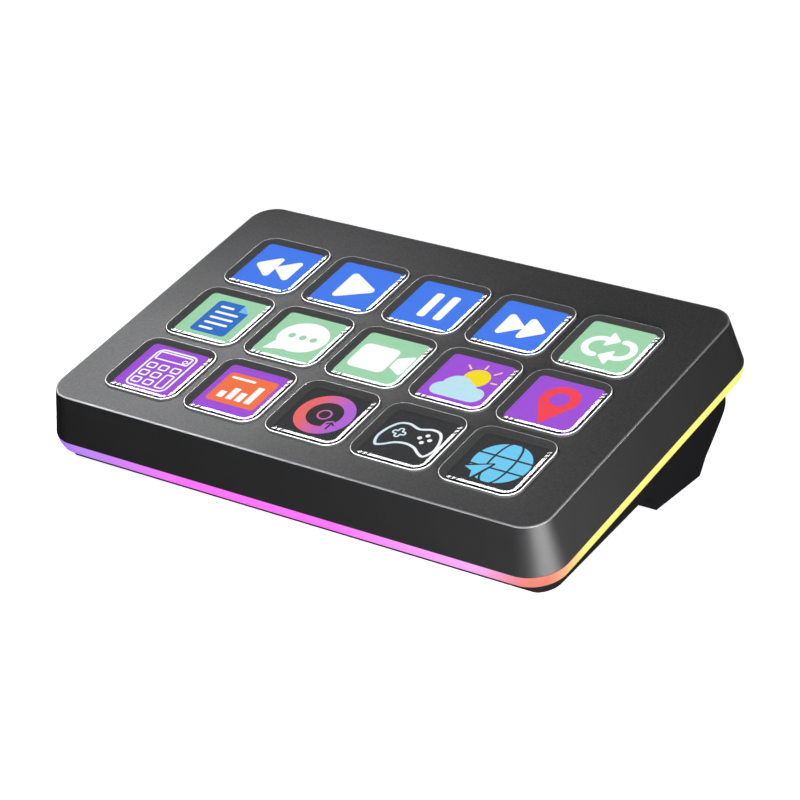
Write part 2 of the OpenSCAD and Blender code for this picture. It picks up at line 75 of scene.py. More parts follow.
# In metres: points closer than this become one
MERGE = 0.000002
# Slots whose pieces also join a collection, so that a light can be kept to them
PICKED = ("shell", "key_clear")
# In millimetres on the flat deck: the bottom cover's outer wall lies further than this out from the corner
# centres, and its front reaches this far behind the front ones
OUTER_WALL = 4.5
FRONT_BAND = 2.0


# Sizes and colours


def linear(code):
    """A colour written as sRGB hex, as three linear numbers: c / 12.92 near black, and else
    ((c + 0.055) / 1.055) ^ 2.4."""
    c = np.array([int(code[i:i + 2], 16) for i in (1, 3, 5)]) / 255
    return tuple(np.where(c <= 0.04045, c / 12.92, ((c + 0.055) / 1.055) ** 2.4).tolist())


def paint(code):
    """The same colour for a socket, opaque."""
    return (*linear(code), 1)


def length(name, description, default):
    return FloatProperty(name=name, description=description, default=default, unit="LENGTH", precision=5)


def tint(name, description, code):
    return FloatVectorProperty(
        name=name, description=description, default=linear(code), subtype="COLOR", size=3, min=0, max=1
    )


def power(name, description, default):
    return FloatProperty(name=name, description=description, default=default, unit="POWER", min=0)


class ShellSizes(bpy.types.PropertyGroup):
    tilt: FloatProperty(name="Tilt", description="Slope of the deck", default=0.197222, subtype="ANGLE")
    rise: length("Rise", "Height of the deck's centre above the desk", 0.0228596)
    back: length("Setback", "How far the deck's centre lies behind the middle of the desk frame", -0.0019790)
    face_w: length("Face width", "Width of the top face", 0.1171)
    face_d: length("Face depth", "Depth of the top face along its slope", 0.076)
    face_r: length("Face corner", "Corner radius of the top face", 0.0055)
    plate_t: length("Plate", "Thickness of the face plate", 0.0013)
    wall_h: length("Wall height", "Height of the side walls", 0.0101)
    flare: length("Flare", "How far the walls lean out to their foot", 0.0021)
    wall_t: length("Wall", "Thickness of the side walls", 0.0018)
    foot_round: length("Foot edge", "Radius of the edges at the walls' foot", 0.00012)
    edge_round: length("Edge", "Radius of the edge round the top face", 0.00022)
    window_round: length("Window edge", "Radius of the edge round each window", 0.00012)
    pitch: length("Key pitch", "Spacing of the keys both ways", 0.0202)
    shift: length("Key shift", "How far the keys sit towards the front of the face", 0.00235)
    window: length("Window", "Side of each key window", 0.01834)
    window_r: length("Window corner", "Corner radius of each key window", 0.00352)


class KeySizes(bpy.types.PropertyGroup):
    size: length("Key", "Side of a key", 0.0181)
    corner: length("Corner", "Corner radius of a key", 0.0034)
    proud: length("Proud", "Height of a key's rim above the plate", 0.00065)
    rim: length("Rim", "Width of the flat rim", 0.0007)
    bevel: length("Bevel", "Width of the slope from the rim to the lens", 0.00102)
    lens: length("Lens", "Height of the lens above the plate", 0.00033)
    under: length("Lens underside", "Depth of the lens underside below the plate", 0.0009)
    skirt: length("Skirt", "Thickness of the skirt", 0.00105)
    flange: length("Flange", "How far the flange stands out", 0.0005)
    flange_top: length("Flange top", "Depth of the flange's top below the plate", 0.00135)
    foot: length("Foot", "Depth of the skirt's foot below the plate", 0.00185)
    edge: length("Rim edge", "Radius of the rim's outer edge", 0.00013)
    soft: length("Soft edge", "Radius of the other edges", 0.00005)
    picture_w: length("Picture width", "Width of a picture", 0.01485)
    picture_d: length("Picture depth", "Depth of a picture", 0.01515)
    picture_r: length("Picture corner", "Corner radius of a picture", 0.0009)
    picture_x: length("Picture across", "How far a picture sits to the right in its key", -0.000175)
    picture_y: length("Picture up", "How far a picture sits to the back in its key", 0.000225)
    gap: length("Air gap", "Gap between the lens and its picture", 0.00003)
    film: length("Film", "Thickness of a picture, and of each colour on it", 0.00002)


class RingSizes(bpy.types.PropertyGroup):
    top: length("Top", "Depth of the ring's top below the plate", 0.01015)
    foot: length("Foot", "Depth of the ring's foot below the plate", 0.0128)
    reach: length("Reach", "How far the ring's top stands out from the corner centres", 0.00755)
    lean: length("Lean", "How far the lit face leans in to its foot", 0.0007)
    inside: length("Inside", "The lip's inner face, from the corner centres", 0.004638)
    lip: length("Lip", "The lip's outer face, from the corner centres", 0.005438)
    lip_top: length("Lip top", "Depth of the lip's top below the plate", 0.0086)
    edge: length("Edge", "Radius of the lit face's edges", 0.0001)


class MatSizes(bpy.types.PropertyGroup):
    top: length("Mat", "Depth of the mat's sheet below the plate", 0.003)
    collar_top: length("Collar top", "Depth of a collar's top below the plate", 0.0019)
    inset: length("Inset", "How far a collar stays inside the flange above it", 0.00005)
    wall: length("Collar wall", "Thickness of a collar", 0.0005)
    edge: length("Collar edge", "Radius of a collar's edges", 0.00008)
    keep: FloatProperty(
        name="Fold", description="Share of a collar's height left at full press", default=0.1, min=0.01, max=1
    )


class ShellColours(bpy.types.PropertyGroup):
    plate: tint("Plate", "Grained ABS of the face plate", "#4A4A4B")
    wall: tint("Walls", "Satin ABS of the side walls", "#242425")
    # Edge: lighter than the walls, a painted highlight along the face's edge
    edge: tint("Edge", "Edge round the top face, lightened as a painted highlight", "#8A8A8C")
    base: tint("Base", "Satin ABS of the bottom cover", "#1B1B1D")
    violet: tint("Violet", "Ring at the front left corner", "#5A46F0")
    lilac: tint("Lilac", "Ring beside the front left corner", "#C088FA")
    magenta: tint("Magenta", "Ring along the front", "#FF70FC")
    pink: tint("Pink", "Ring right of the middle of the front", "#FA9CF8")
    rose: tint("Rose", "Ring left of the front right corner", "#F8AAF2")
    coral: tint("Coral", "Ring at the front right corner", "#EE7962")
    amber: tint("Amber", "Ring beside the front right corner", "#F8BA78")
    yellow: tint("Yellow", "Ring along the right side", "#FCFB7C")
    lime: tint("Lime", "Ring at the back right corner", "#9BE870")
    aqua: tint("Aqua", "Ring along the back", "#4FD6E0")


class PictureColours(bpy.types.PropertyGroup):
    blue: tint("Blue", "Ground of the player keys", "#4580F8")
    mint: tint("Mint", "Ground of the chat keys", "#A6DFB5")
    purple: tint("Purple", "Ground of the desk tool keys", "#A553E0")
    dark: tint("Dark", "Ground of the game keys", "#343436")
    white: tint("White", "White marks", "#FFFFFF")
    page: tint("Page", "Page of the document", "#2F74D0")
    fold: tint("Fold", "Folded corner of the document", "#7FC4FA")
    red: tint("Red", "Map pin", "#FF4658")
    orange: tint("Orange", "Slide board", "#FF7847")
    sun: tint("Sun", "Sun", "#FFE620")
    ray: tint("Rays", "Rays of the sun", "#FFD9C8")
    cloud: tint("Cloud", "Cloud", "#C5EDFB")
    coral: tint("Coral", "Lower left of the dial", "#F26D6D")
    violet: tint("Violet", "Right of the dial", "#B968DC")
    pale: tint("Pale", "Outline of the game pad", "#D8F1FA")
    sky: tint("Sky", "Globe", "#74D3FB")


class StageSizes(bpy.types.PropertyGroup):
    eye: FloatVectorProperty(
        name="Camera", description="Place of the camera", default=(0.2996195, -0.4141453, 0.2534891),
        subtype="TRANSLATION", unit="LENGTH", size=3
    )
    turn: FloatVectorProperty(
        name="Camera turn", description="Turn of the camera",
        default=(1.1286024, 0.0354555, 0.6078013), subtype="EULER", size=3
    )
    lens: FloatProperty(
        name="Focal length", description="Focal length in millimetres", default=126.67, unit="CAMERA"
    )
    floor: length("Floor", "Side of the floor", 4.0)
    overhead: power("Overhead", "Power of the softbox overhead", 0.35)
    pool: power("Pool", "Power of the small lamp close above the front left", 0.07)
    corner: power("Corner", "Power of the tall softbox that the front right corner mirrors", 4.7)
    front: power("Front", "Power of the softbox before the front right corner", 0.42)
    near: power("Near", "Power of the small softbox beside the front right corner", 0.38)
    edge: power("Edge", "Power of the softbox that the edge of the face mirrors", 0.5)
    back: power("Back", "Power of the low softbox behind", 5.0)
    left: power("Left", "Power of the low softbox on the left", 3.0)
    slope: power("Slopes", "Power of the softbox that the slopes of the keys mirror", 2.0)
    rim: power("Rims", "Power of the softbox that lights the rims of the keys", 2.2)


def in_mm(kind):
    """The lengths of a group of sizes in millimetres, by name."""
    group = getattr(bpy.context.scene, "controller_" + kind)
    names = [p.identifier for p in group.bl_rna.properties if getattr(p, "unit", "") == "LENGTH"]
    return SimpleNamespace(**{n: getattr(group, n) / MM for n in names})


# Surfaces


def on_deck(points):
    """Tips the flat deck up about X and stands it on the desk, in metres:
    y' = y cos t - z sin t + setback, z' = y sin t + z cos t + rise."""
    s = bpy.context.scene.controller_shell
    p = np.asarray(points, float) * MM
    c, n = np.cos(s.tilt), np.sin(s.tilt)
    return np.stack([p[:, 0], c * p[:, 1] - n * p[:, 2] + s.back, n * p[:, 1] + c * p[:, 2] + s.rise], 1)


def off_deck(points):
    """The way back from a place in metres to one on the flat deck in millimetres."""
    s = bpy.context.scene.controller_shell
    p = np.asarray(points, float) - (0, s.back, s.rise)
    c, n = np.cos(s.tilt), np.sin(s.tilt)
    return np.stack([p[:, 0], c * p[:, 1] + n * p[:, 2], c * p[:, 2] - n * p[:, 1]], 1) / MM


def rail(along, across, turn=12):
    """The way round a rectangle with round corners, from the right side. Each point is a place from
    -1 to 1 in the rectangle of the corner centres, and an outward direction that turns in the corners."""
    turns = np.linspace(0, np.pi / 2, turn + 1)[1:-1]
    parts = []
    for k in range(4):
        side = np.asarray(across if k % 2 else along, float)
        place = np.concatenate([np.stack([np.ones_like(side), side], 1), np.ones((len(turns), 2))])
        angle = np.concatenate([np.zeros_like(side), turns]) + k * np.pi / 2
        q = np.linalg.matrix_power(np.array([[0, 1], [-1, 0]]), k)
        parts.append((place @ q, np.stack([np.cos(angle), np.sin(angle)], 1)))
    return np.concatenate([p[0] for p in parts]), np.concatenate([p[1] for p in parts])


def ring_at(way, half, out, height, centre=(0, 0)):
    """One loop on a rail: place x half size + outward direction x distance out, at a height. The half size is
    one number, or one for each way."""
    place, direction = way
    flat = place * half + direction * out + np.asarray(centre)
    return np.concatenate([flat, np.full((len(flat), 1), height)], 1)


def swept(way, half, profile, centre=(0, 0)):
    """A profile of distance out and height, carried round a rail."""
    return np.stack([ring_at(way, half, x, z, centre) for x, z in profile])


def face_half():
    """Half the size of the rectangle of the face's corner centres."""
    s = in_mm("shell")
    return np.array([s.face_w / 2 - s.face_r, s.face_d / 2 - s.face_r])


def rounded(corners, steps=5):
    """A line of (x, y, radius) corners with each corner turned into an arc that is tangent to both sides:
    its centre lies on the bisector, and its ends lie radius / tan(half the angle) along the sides."""
    corners = [tuple(c) if len(c) == 3 else (*c, 0) for c in corners]
    out = []
    for i, (x, y, r) in enumerate(corners):
        p = np.array([x, y], float)
        a = np.array(corners[i - 1][:2], float) - p
        b = np.array(corners[(i + 1) % len(corners)][:2], float) - p
        a, b = a / max(np.hypot(*a), 1e-9), b / max(np.hypot(*b), 1e-9)
        half = np.arccos(np.clip(a @ b, -1, 1)) / 2
        # A sharp corner, or one that is all but straight, stays a point
        if r <= 0 or half > 1.55:
            out.append(p[None])
            continue
        middle = p + (a + b) / np.hypot(*(a + b)) * r / np.sin(half)
        start = p + a * r / np.tan(half) - middle
        end = p + b * r / np.tan(half) - middle
        t = np.linspace(0, 1, steps + 1)[:, None]
        arc = np.pi - 2 * half
        bow = (np.sin((1 - t) * arc) * start + np.sin(t * arc) * end) / np.sin(arc)
        out.append(middle + bow)
    return np.concatenate(out)


def patch(grid, finish=0, closed=True):
    """A grid of points as points, four-cornered faces and a finish number. A closed grid joins its last
    column to its first."""
    rows, cols = grid.shape[:2]
    i, j = np.meshgrid(np.arange(rows - 1), np.arange(cols if closed else cols - 1), indexing="ij")
    k = (j + 1) % cols
    faces = np.stack([i * cols + j, i * cols + k, (i + 1) * cols + k, (i + 1) * cols + j], -1)
    return grid.reshape(-1, 3), faces.reshape(-1, 4), finish


def between(outer, inner, finish=0):
    """A flat or sloping strip between two loops of the same number of points."""
    return patch(np.stack([outer, inner]), finish)


def closed_over(loop, finish=0):
    """A loop closed to its middle point."""
    return between(loop, np.broadcast_to(loop.mean(0), loop.shape), finish)


def finish_mesh(mesh, sharp=30, outward=True):
    """Merges a mesh's doubles, turns its faces outwards and smooths it up to an angle."""
    work = bmesh.new()
    work.from_mesh(mesh)
    bmesh.ops.remove_doubles(work, verts=work.verts, dist=MERGE)
    if outward:
        bmesh.ops.recalc_face_normals(work, faces=work.faces)
    work.to_mesh(mesh)
    work.free()
    mesh.polygons.foreach_set("use_smooth", np.ones(len(mesh.polygons), bool))
    mesh.set_sharp_from_angle(angle=np.radians(sharp))
    mesh.update()


def add_piece(name, mesh, body, slot, nodes, materials):
    """Puts a mesh on its body as a piece, in place of CAD nodes."""
    piece = bpy.data.objects.new(name, mesh)
    bpy.context.scene.collection.objects.link(piece)
    for material in materials:
        mesh.materials.append(material)
    flat = piece.modifiers.new("Flat faces stay flat", "WEIGHTED_NORMAL")
    flat.keep_sharp = True
    if slot in PICKED:
        bpy.data.collections[slot].objects.link(piece)
    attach(piece, body)
    if nodes:
        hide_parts(*nodes)
    return piece


def build(name, patches, body, slot, nodes, materials, sharp=30, outward=True):
    """One mesh from patches on the flat deck, tipped up and merged."""
    starts = np.cumsum([0] + [len(p[0]) for p in patches])
    points = on_deck(np.concatenate([p[0] for p in patches]))
    faces = np.concatenate([p[1] + s for p, s in zip(patches, starts)])
    mesh = bpy.data.meshes.new(name)
    mesh.from_pydata(points.tolist(), [], faces.tolist())
    mesh.polygons.foreach_set("material_index", np.concatenate([np.full(len(p[1]), p[2]) for p in patches]))
    finish_mesh(mesh, sharp, outward)
    return add_piece(name, mesh, body, slot, nodes, materials)


def smooth_copy(name, node, slot, material, grow=0.0, level=np.inf):
    """A merged copy of a CAD node's mesh, smoothed up to an angle, in the node's place. Its outer wall may
    grow at the front: a point whose offset from the corner centres is long moves on along that offset. What
    stands above a level comes down to it: z' = min(z, level)."""
    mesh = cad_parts[node].data.copy()
    mesh.name = name
    points = np.empty(len(mesh.vertices) * 3)
    mesh.vertices.foreach_get("co", points)
    points = off_deck(points.reshape(-1, 3))
    half = face_half()
    offset = points[:, :2] - np.clip(points[:, :2], -half, half)
    far = np.hypot(*offset.T)[:, None]
    move = (far > OUTER_WALL) & (points[:, 1:2] < FRONT_BAND - half[1])
    points[:, :2] += np.where(move, grow * offset / np.maximum(far, 1e-9), 0)
    points[:, 2] = np.minimum(points[:, 2], level)
    mesh.vertices.foreach_set("co", on_deck(points).ravel())
    if mesh.attributes.get("custom_normal"):
        mesh.attributes.remove(mesh.attributes["custom_normal"])
    mesh.materials.clear()
    finish_mesh(mesh, sharp=24, outward=False)
    return add_piece(name, mesh, "deck", slot, [node], [material])


# Materials


def add_node(tree, kind, inputs=None, stops=None, **settings):
    """Adds a node with its settings. An input takes a value, an output, or a node for its first output.
    Stops fill its ramp."""
    made = tree.nodes.new("ShaderNode" + kind)
    for name, value in settings.items():
        setattr(made, name, value)
    for place, colour in stops or []:
        ramp = made.color_ramp.elements
        spare = place == stops[0][0] or place == stops[-1][0]
        stop = ramp[0 if place == stops[0][0] else -1] if spare else ramp.new(place)
        stop.position = place
        stop.color = (*colour[:3], 1)
    for socket, value in (inputs or {}).items():
        if isinstance(value, bpy.types.Node):
            value = value.outputs[0]
        if isinstance(value, bpy.types.NodeSocket):
            tree.links.new(value, made.inputs[socket])
        else:
            made.inputs[socket].default_value = value
    return made


def start(name):
    """A new material's tree with the object's own coordinates."""
    material = bpy.data.materials.new(name)
    material.use_nodes = True
    tree = material.node_tree
    tree.nodes.clear()
    return material, tree, add_node(tree, "TexCoord").outputs["Object"]


def end(tree, shader):
    """Ends a material's tree in its shader."""
    add_node(tree, "OutputMaterial", {"Surface": shader})


def shade(colour, factor):
    """A colour times a factor, up to 1."""
    return tuple(min(1.0, c * factor) for c in colour)


def finished(
    name, colour, rough, grain, depth, spread=0.08, mottle=9.0, vary=0.12, stretch=(1, 1, 1), **shader
):
    """A solid finish: colour that varies softly over a patch size, and grain of a size in millimetres that
    moves the roughness and, to a depth in millimetres, the surface. Shader values are set by name."""
    material, tree, place = start(name)
    place = add_node(tree, "Mapping", {"Vector": place, "Scale": stretch})
    patchy = add_node(tree, "TexNoise", {"Vector": place, "Scale": 1 / (mottle * MM), "Detail": 3.0})
    fine = add_node(tree, "TexNoise", {"Vector": place, "Scale": 1 / (grain * MM), "Detail": 2.0})
    base = add_node(
        tree, "ValToRGB", {"Fac": patchy},
        stops=[(0.3, shade(colour, 1 - vary)), (0.7, shade(colour, 1 + vary))]
    )
    gloss = add_node(
        tree, "MapRange",
        {"Value": fine, "From Min": 0.3, "From Max": 0.7, "To Min": rough - spread, "To Max": rough + spread}
    )
    bump = add_node(tree, "Bump", {"Height": fine, "Strength": 1.0, "Distance": depth * MM})
    end(tree, add_node(tree, "BsdfPrincipled", {
        "Base Color": base, "Roughness": gloss, "Normal": bump,
        **{k.replace("_", " ").title() if k != "ior" else "IOR": v for k, v in shader.items()}
    }))
    return material


def clear_acrylic():
    # Clear acrylic, moulded and polished: like glass, with faint wipe marks in its gloss
    material, tree, place = start("Clear acrylic, polished")
    wipes = add_node(tree, "Mapping", {"Vector": place, "Scale": (1, 7, 1)})
    marks = add_node(tree, "TexNoise", {"Vector": wipes, "Scale": 1 / (4 * MM), "Detail": 4.0})
    gloss = add_node(tree, "MapRange", {"Value": marks, "To Min": 0.0, "To Max": 0.03})
    end(tree, add_node(tree, "BsdfPrincipled", {
        "Base Color": paint("#FCFDFD"), "Roughness": gloss, "IOR": 1.49, "Transmission Weight": 1.0
    }))
    return material


def frosted_edge_painted_glow():
    # Round outer edge of the clear acrylic, frosted: it scatters the room's light, and glows a little, a
    # painted glow that gives its light lines
    material, tree, place = start("Acrylic edge, frosted and lit")
    along = add_node(tree, "TexNoise", {"Vector": place, "Scale": 1 / (5 * MM), "Detail": 1.0})
    glow = add_node(tree, "MapRange", {"Value": along, "To Min": 0.1, "To Max": 0.16})
    end(tree, add_node(tree, "BsdfPrincipled", {
        "Base Color": paint("#EDEDED"), "Roughness": 0.3, "Emission Color": paint("#FFFFFF"),
        "Emission Strength": glow
    }))
    return material


def lit_polycarbonate(colours):
    # Milky polycarbonate light guide, lit from behind: soft even glow whose colour runs round the rim
    material, tree, place = start("Milky polycarbonate, lit")
    xyz = add_node(tree, "SeparateXYZ", {"Vector": place})
    half = (Vector(cad_box[1]) - Vector(cad_box[0])) / 2
    across = add_node(tree, "Math", {0: xyz, 1: half.x}, operation="DIVIDE")
    along = add_node(tree, "Math", {0: xyz.outputs[1], 1: half.y}, operation="DIVIDE")
    angle = add_node(tree, "Math", {0: along, 1: across}, operation="ARCTAN2")
    turn = add_node(
        tree, "MapRange",
        {"Value": angle, "From Min": -np.pi, "From Max": np.pi, "To Min": 0.0, "To Max": 1.0}
    )
    c = colours
    hue = add_node(tree, "ValToRGB", {"Fac": turn}, stops=[
        (0.0, c.violet), (0.108, c.violet), (0.142, c.lilac), (0.19, c.magenta), (0.282, c.magenta),
        (0.332, c.pink), (0.354, c.rose), (0.369, c.coral), (0.38, c.coral), (0.39, c.amber),
        (0.41, c.yellow), (0.6, c.yellow), (0.66, c.lime), (0.76, c.aqua), (1.0, c.violet)
    ])
    cloudy = add_node(tree, "TexNoise", {"Vector": place, "Scale": 1 / (6 * MM), "Detail": 2.0})
    glow = add_node(tree, "MapRange", {"Value": cloudy, "To Min": 0.9, "To Max": 1.1})
    end(tree, add_node(tree, "BsdfPrincipled", {
        "Base Color": paint("#383838"), "Roughness": 0.35, "Emission Color": hue, "Emission Strength": glow
    }))
    return material


def lit_pixels(name, colour, second=None, middle=0.0, gain=1.0):
    # Display behind the keys: flat bright colour with a faint lattice of dots. The real dots are
    # 0.2 mm, drawn at 0.4 mm so that they show. A second colour comes in across the picture
    material, tree, place = start(name)
    dots = add_node(tree, "TexVoronoi", {"Vector": place, "Scale": 1 / (0.4 * MM), "Randomness": 0.0})
    glow = add_node(tree, "MapRange", {"Value": dots, "To Min": 1.12 * gain, "To Max": 1.04 * gain})
    where = dots
    if second:
        xyz = add_node(tree, "SeparateXYZ", {"Vector": place})
        where = add_node(
            tree, "MapRange",
            {"Value": xyz, "From Min": (middle - 4) * MM, "From Max": (middle + 3.5) * MM}
        )
    hue = add_node(
        tree, "ValToRGB", {"Fac": where},
        stops=[(0.0, colour), (1.0, second or shade(colour, 0.97))]
    )
    end(tree, add_node(tree, "BsdfPrincipled", {
        "Base Color": paint("#191919"), "Roughness": 0.5, "Specular IOR Level": 0.0,
        "Emission Color": hue, "Emission Strength": glow
    }))
    return material


def circuit_board():
    # Glass fibre board under green solder mask: glossy, with raised copper tracks
    material, tree, place = start("Fibreglass board, green solder mask")
    tracks = add_node(tree, "TexBrick", {
        "Vector": place, "Color1": paint("#1D553C"), "Color2": paint("#205E42"), "Mortar": paint("#3F7C55"),
        "Scale": 1 / (5 * MM), "Mortar Size": 0.04
    })
    bump = add_node(tree, "Bump", {"Height": tracks.outputs[1], "Strength": 1.0, "Distance": 0.03 * MM})
    end(tree, add_node(tree, "BsdfPrincipled", {
        "Base Color": tracks, "Roughness": 0.3, "Normal": bump, "Coat Weight": 0.4
    }))
    return material


# Pictures: outlines on a key, in millimetres from its centre


def anticlockwise(outline):
    """The outline the way round that gives it a positive area, half the sum of x dy - y dx."""
    x, y = outline.T
    area = np.sum(x * np.roll(y, -1) - y * np.roll(x, -1))
    return outline if area > 0 else outline[::-1]


def filled(outline, centre=None):
    """The area of an outline that one point sees all of, as spokes to that point."""
    outline = anticlockwise(np.asarray(outline, float))
    middle = outline.mean(0) if centre is None else np.asarray(centre, float)
    return np.stack([outline, np.broadcast_to(middle, outline.shape)])


def circle(x, y, r, parts=40, squash=1.0):
    """The points x + r cos t and y + r sin t, where the height may be squashed."""
    t = np.linspace(0, 2 * np.pi, parts, endpoint=False)
    return np.stack([x + r * np.cos(t), y + r * squash * np.sin(t)], 1)


def box(x0, y0, x1, y1, r=0.0):
    """A rectangle between two corners, with round corners."""
    return rounded([(x0, y0, r), (x1, y0, r), (x1, y1, r), (x0, y1, r)])


def holed(outline, x, y, r):
    """The area between an outline and a round hole: each hole point lies on the line from its centre to
    the outline's point."""
    outline = anticlockwise(np.asarray(outline, float))
    ray = outline - (x, y)
    return np.stack([outline, (x, y) + r * ray / np.hypot(*ray.T)[:, None]])


def stroke(path, width, closed=False):
    """A line of a width: each point is moved half the width to both sides, along the normal of the line
    through its neighbours. An open line gets a round dot at each end."""
    path = np.asarray(path, float)
    if closed:
        ahead, behind = np.roll(path, -1, 0), np.roll(path, 1, 0)
    else:
        ahead, behind = np.vstack([path[1:], path[-1:]]), np.vstack([path[:1], path[:-1]])
    step = ahead - behind
    normal = np.stack([step[:, 1], -step[:, 0]], 1) / np.hypot(*step.T)[:, None]
    strip = np.stack([path + normal * width / 2, path - normal * width / 2])
    if closed:
        return [strip if anticlockwise(path) is path else strip[:, ::-1]]
    ends = [filled(circle(*p, width / 2, 16)) for p in (path[0], path[-1])]
    return [("open", strip), *ends]


def frame_line(x0, y0, x1, y1, r, width):
    """A line round a rectangle with round corners."""
    return stroke(box(x0, y0, x1, y1, r), width, closed=True)


def flowing(points, parts=6):
    """A closed smooth line through points: a cubic for each span, whose slope at a point is half the step
    between its two neighbours."""
    p = np.asarray(points, float)[:, None]
    q, ahead, behind = np.roll(p, -1, 0), np.roll(p, -2, 0), np.roll(p, 1, 0)
    t = np.linspace(0, 1, parts, endpoint=False)[None, :, None]
    leave, arrive = (q - behind) / 2, (ahead - p) / 2
    bend, curl = 3 * (q - p) - 2 * leave - arrive, 2 * (p - q) + leave + arrive
    return (p + leave * t + bend * t ** 2 + curl * t ** 3).reshape(-1, 2)


def turned(shapes, x, y):
    """Shapes turned half round a point: p' = 2 x point - p."""
    twice = 2 * np.array([x, y])
    return [("open", twice - s[1]) if isinstance(s, tuple) else twice - s for s in shapes]


def wedge(*corners, r=0.0):
    """A filled outline with straight sides and round corners."""
    return filled(rounded([(*c, r) for c in corners]))


def rewind_picture():
    tips = (-6.1, -1.2)
    return "blue", [("white", [wedge((x, 0.25), (x + 5.5, -4.1), (x + 5.5, 4.6), r=0.8) for x in tips])]


def play_picture():
    return "blue", [("white", [wedge((-3.6, 5.3), (-3.6, -4.9), (5.3, 0.2), r=0.9)])]


def pause_picture():
    return "blue", [("white", [filled(box(x, -4.0, x + 1.95, 4.7, 0.7)) for x in (-2.75, 1.2)])]


def forward_picture():
    tips = (5.9, 1.0)
    return "blue", [("white", [wedge((x, 0.25), (x - 5.5, 4.6), (x - 5.5, -4.2), r=0.8) for x in tips])]


def cycle_picture():
    t = np.radians(np.linspace(-85, -270, 20))
    hook = np.stack([-2.3 + 2.8 * np.cos(t), 0.2 + 2.8 * np.sin(t)], 1)
    arrow = stroke(np.vstack([hook, [[-1.2, 3.0]]]), 1.5)
    arrow.append(wedge((-1.7, 0.3), (1.2, 3.05), (-1.7, 5.8), r=0.35))
    return "mint", [("white", arrow + turned(arrow, 0.05, 0.3))]


def page_picture():
    page = rounded([(-4.5, -5.4, 0.9), (4.5, -5.4, 0.9), (4.5, 3.4, 0.1), (2.0, 5.9, 0.1), (-4.5, 5.9, 0.9)])
    ends = ((0.2, 3.9), (2.6, 1.9), (2.6, 0.0), (2.6, -1.9), (0.2, -3.8))
    return "mint", [
        ("page", [filled(page)]), ("fold", [wedge((4.5, 3.4), (2.0, 3.4), (2.0, 5.9))]),
        ("white", [s for x, y in ends for s in stroke([(-2.6, y), (x, y)], 0.7)])
    ]


def chat_picture():
    tail = wedge((-5.7, -5.3), (-0.1, -3.9), (-4.5, -1.6), r=0.15)
    dots = [filled(circle(x, 0.65, 0.8, 20)) for x in (-2.4, 0.3, 2.95)]
    return "mint", [("white", [filled(circle(0.3, 0.7, 5.8, 56, 0.88)), tail]), ("mint", dots)]


def camera_picture():
    lens = rounded([(2.8, -1.4, 0.3), (6.4, -3.5, 0.6), (6.4, 3.8, 0.6), (2.8, 1.7, 0.3)])
    return "mint", [("white", [filled(box(-6.4, -3.9, 2.4, 4.3, 1.5)), filled(lens)])]


def weather_picture():
    rays = (
        ((-2.7, 5.3), (-1.6, 4.3)), ((1.1, 6.35), (1.1, 5.15)), ((4.9, 5.3), (3.9, 4.2)),
        ((5.95, 1.55), (4.75, 1.55))
    )
    lobes = ((-3.9, -3.5, 2.1), (-1.5, -1.5, 3.05), (1.2, -1.9, 2.0), (3.5, -3.3, 2.3))
    cloud = [circle(*lobe) for lobe in lobes] + [box(-4.0, -5.6, 3.6, -1.9, 0.1)]
    return "purple", [
        ("ray", [s for ray in rays for s in stroke(ray, 0.4)]), ("sun", [filled(circle(1.15, 1.85, 2.9))]),
        ("cloud", [filled(outline) for outline in cloud])
    ]


def pin_picture():
    # The straight sides touch the head where its radius is square to them
    t = np.radians(np.linspace(-30, 210, 40))
    head = np.stack([4.15 * np.cos(t), 1.9 + 4.15 * np.sin(t)], 1)
    side = np.linspace(head[-1], (0, -6.4), 12)[1:]
    return "purple", [("red", [holed(np.vstack([head, side, side[-2::-1] * (-1, 1)]), 0, 1.85, 2.0)])]


def sums_picture():
    lines = frame_line(-5.1, -6.0, 4.8, 6.5, 1.5, 0.45) + frame_line(-4.4, 3.4, 3.8, 5.8, 0.4, 0.4)
    lines += stroke(circle(2.75, 4.3, 0.5, 16), 0.3, closed=True)
    lines += frame_line(1.9, -5.0, 3.8, -0.6, 0.35, 0.4)
    buttons = [(2.8, 1.1)] + [(x, y) for x in (-3.3, -0.3) for y in (1.1, -1.55, -4.15)]
    for x, y in buttons:
        lines += frame_line(x - 0.95, y - 0.8, x + 0.95, y + 0.8, 0.35, 0.4)
    return "purple", [("white", lines)]


def slide_picture():
    tops = ((-4.4, -0.6), (-2.1, 1.1), (0.1, 0.2), (2.4, 3.0))
    bars = [filled(box(x, -2.7, x + 1.5, top, 0.15)) for x, top in tops]
    return "purple", [
        ("orange", [filled(box(-6.2, -4.2, 5.8, 5.5, 1.0))]),
        ("white", bars + stroke([(-4.8, 4.0), (0.5, 4.0)], 0.7))
    ]


def dial_picture():
    shaft, head = [(2.89, -3.41), (2.98, -1.6)], [(2.15, -1.95), (2.98, -1.35), (3.71, -1.99)]
    arrow = stroke(shaft, 0.42) + stroke(head, 0.42)
    tab = filled(rounded([
        (1.4, -3.4, 0.1), (1.6, -1.45, 0.3), (2.75, -0.7, 0.3), (3.9, -1.2, 0.3), (4.2, -2.4, 0.1)
    ]))
    return "dark", [
        ("dial", [holed(circle(0, 0.45, 6.25, 72), 0, 0.5, 3.8)]),
        ("dial", [*stroke(circle(0, 0.4, 1.4, 28), 0.42, closed=True), tab]), ("dark", arrow)
    ]


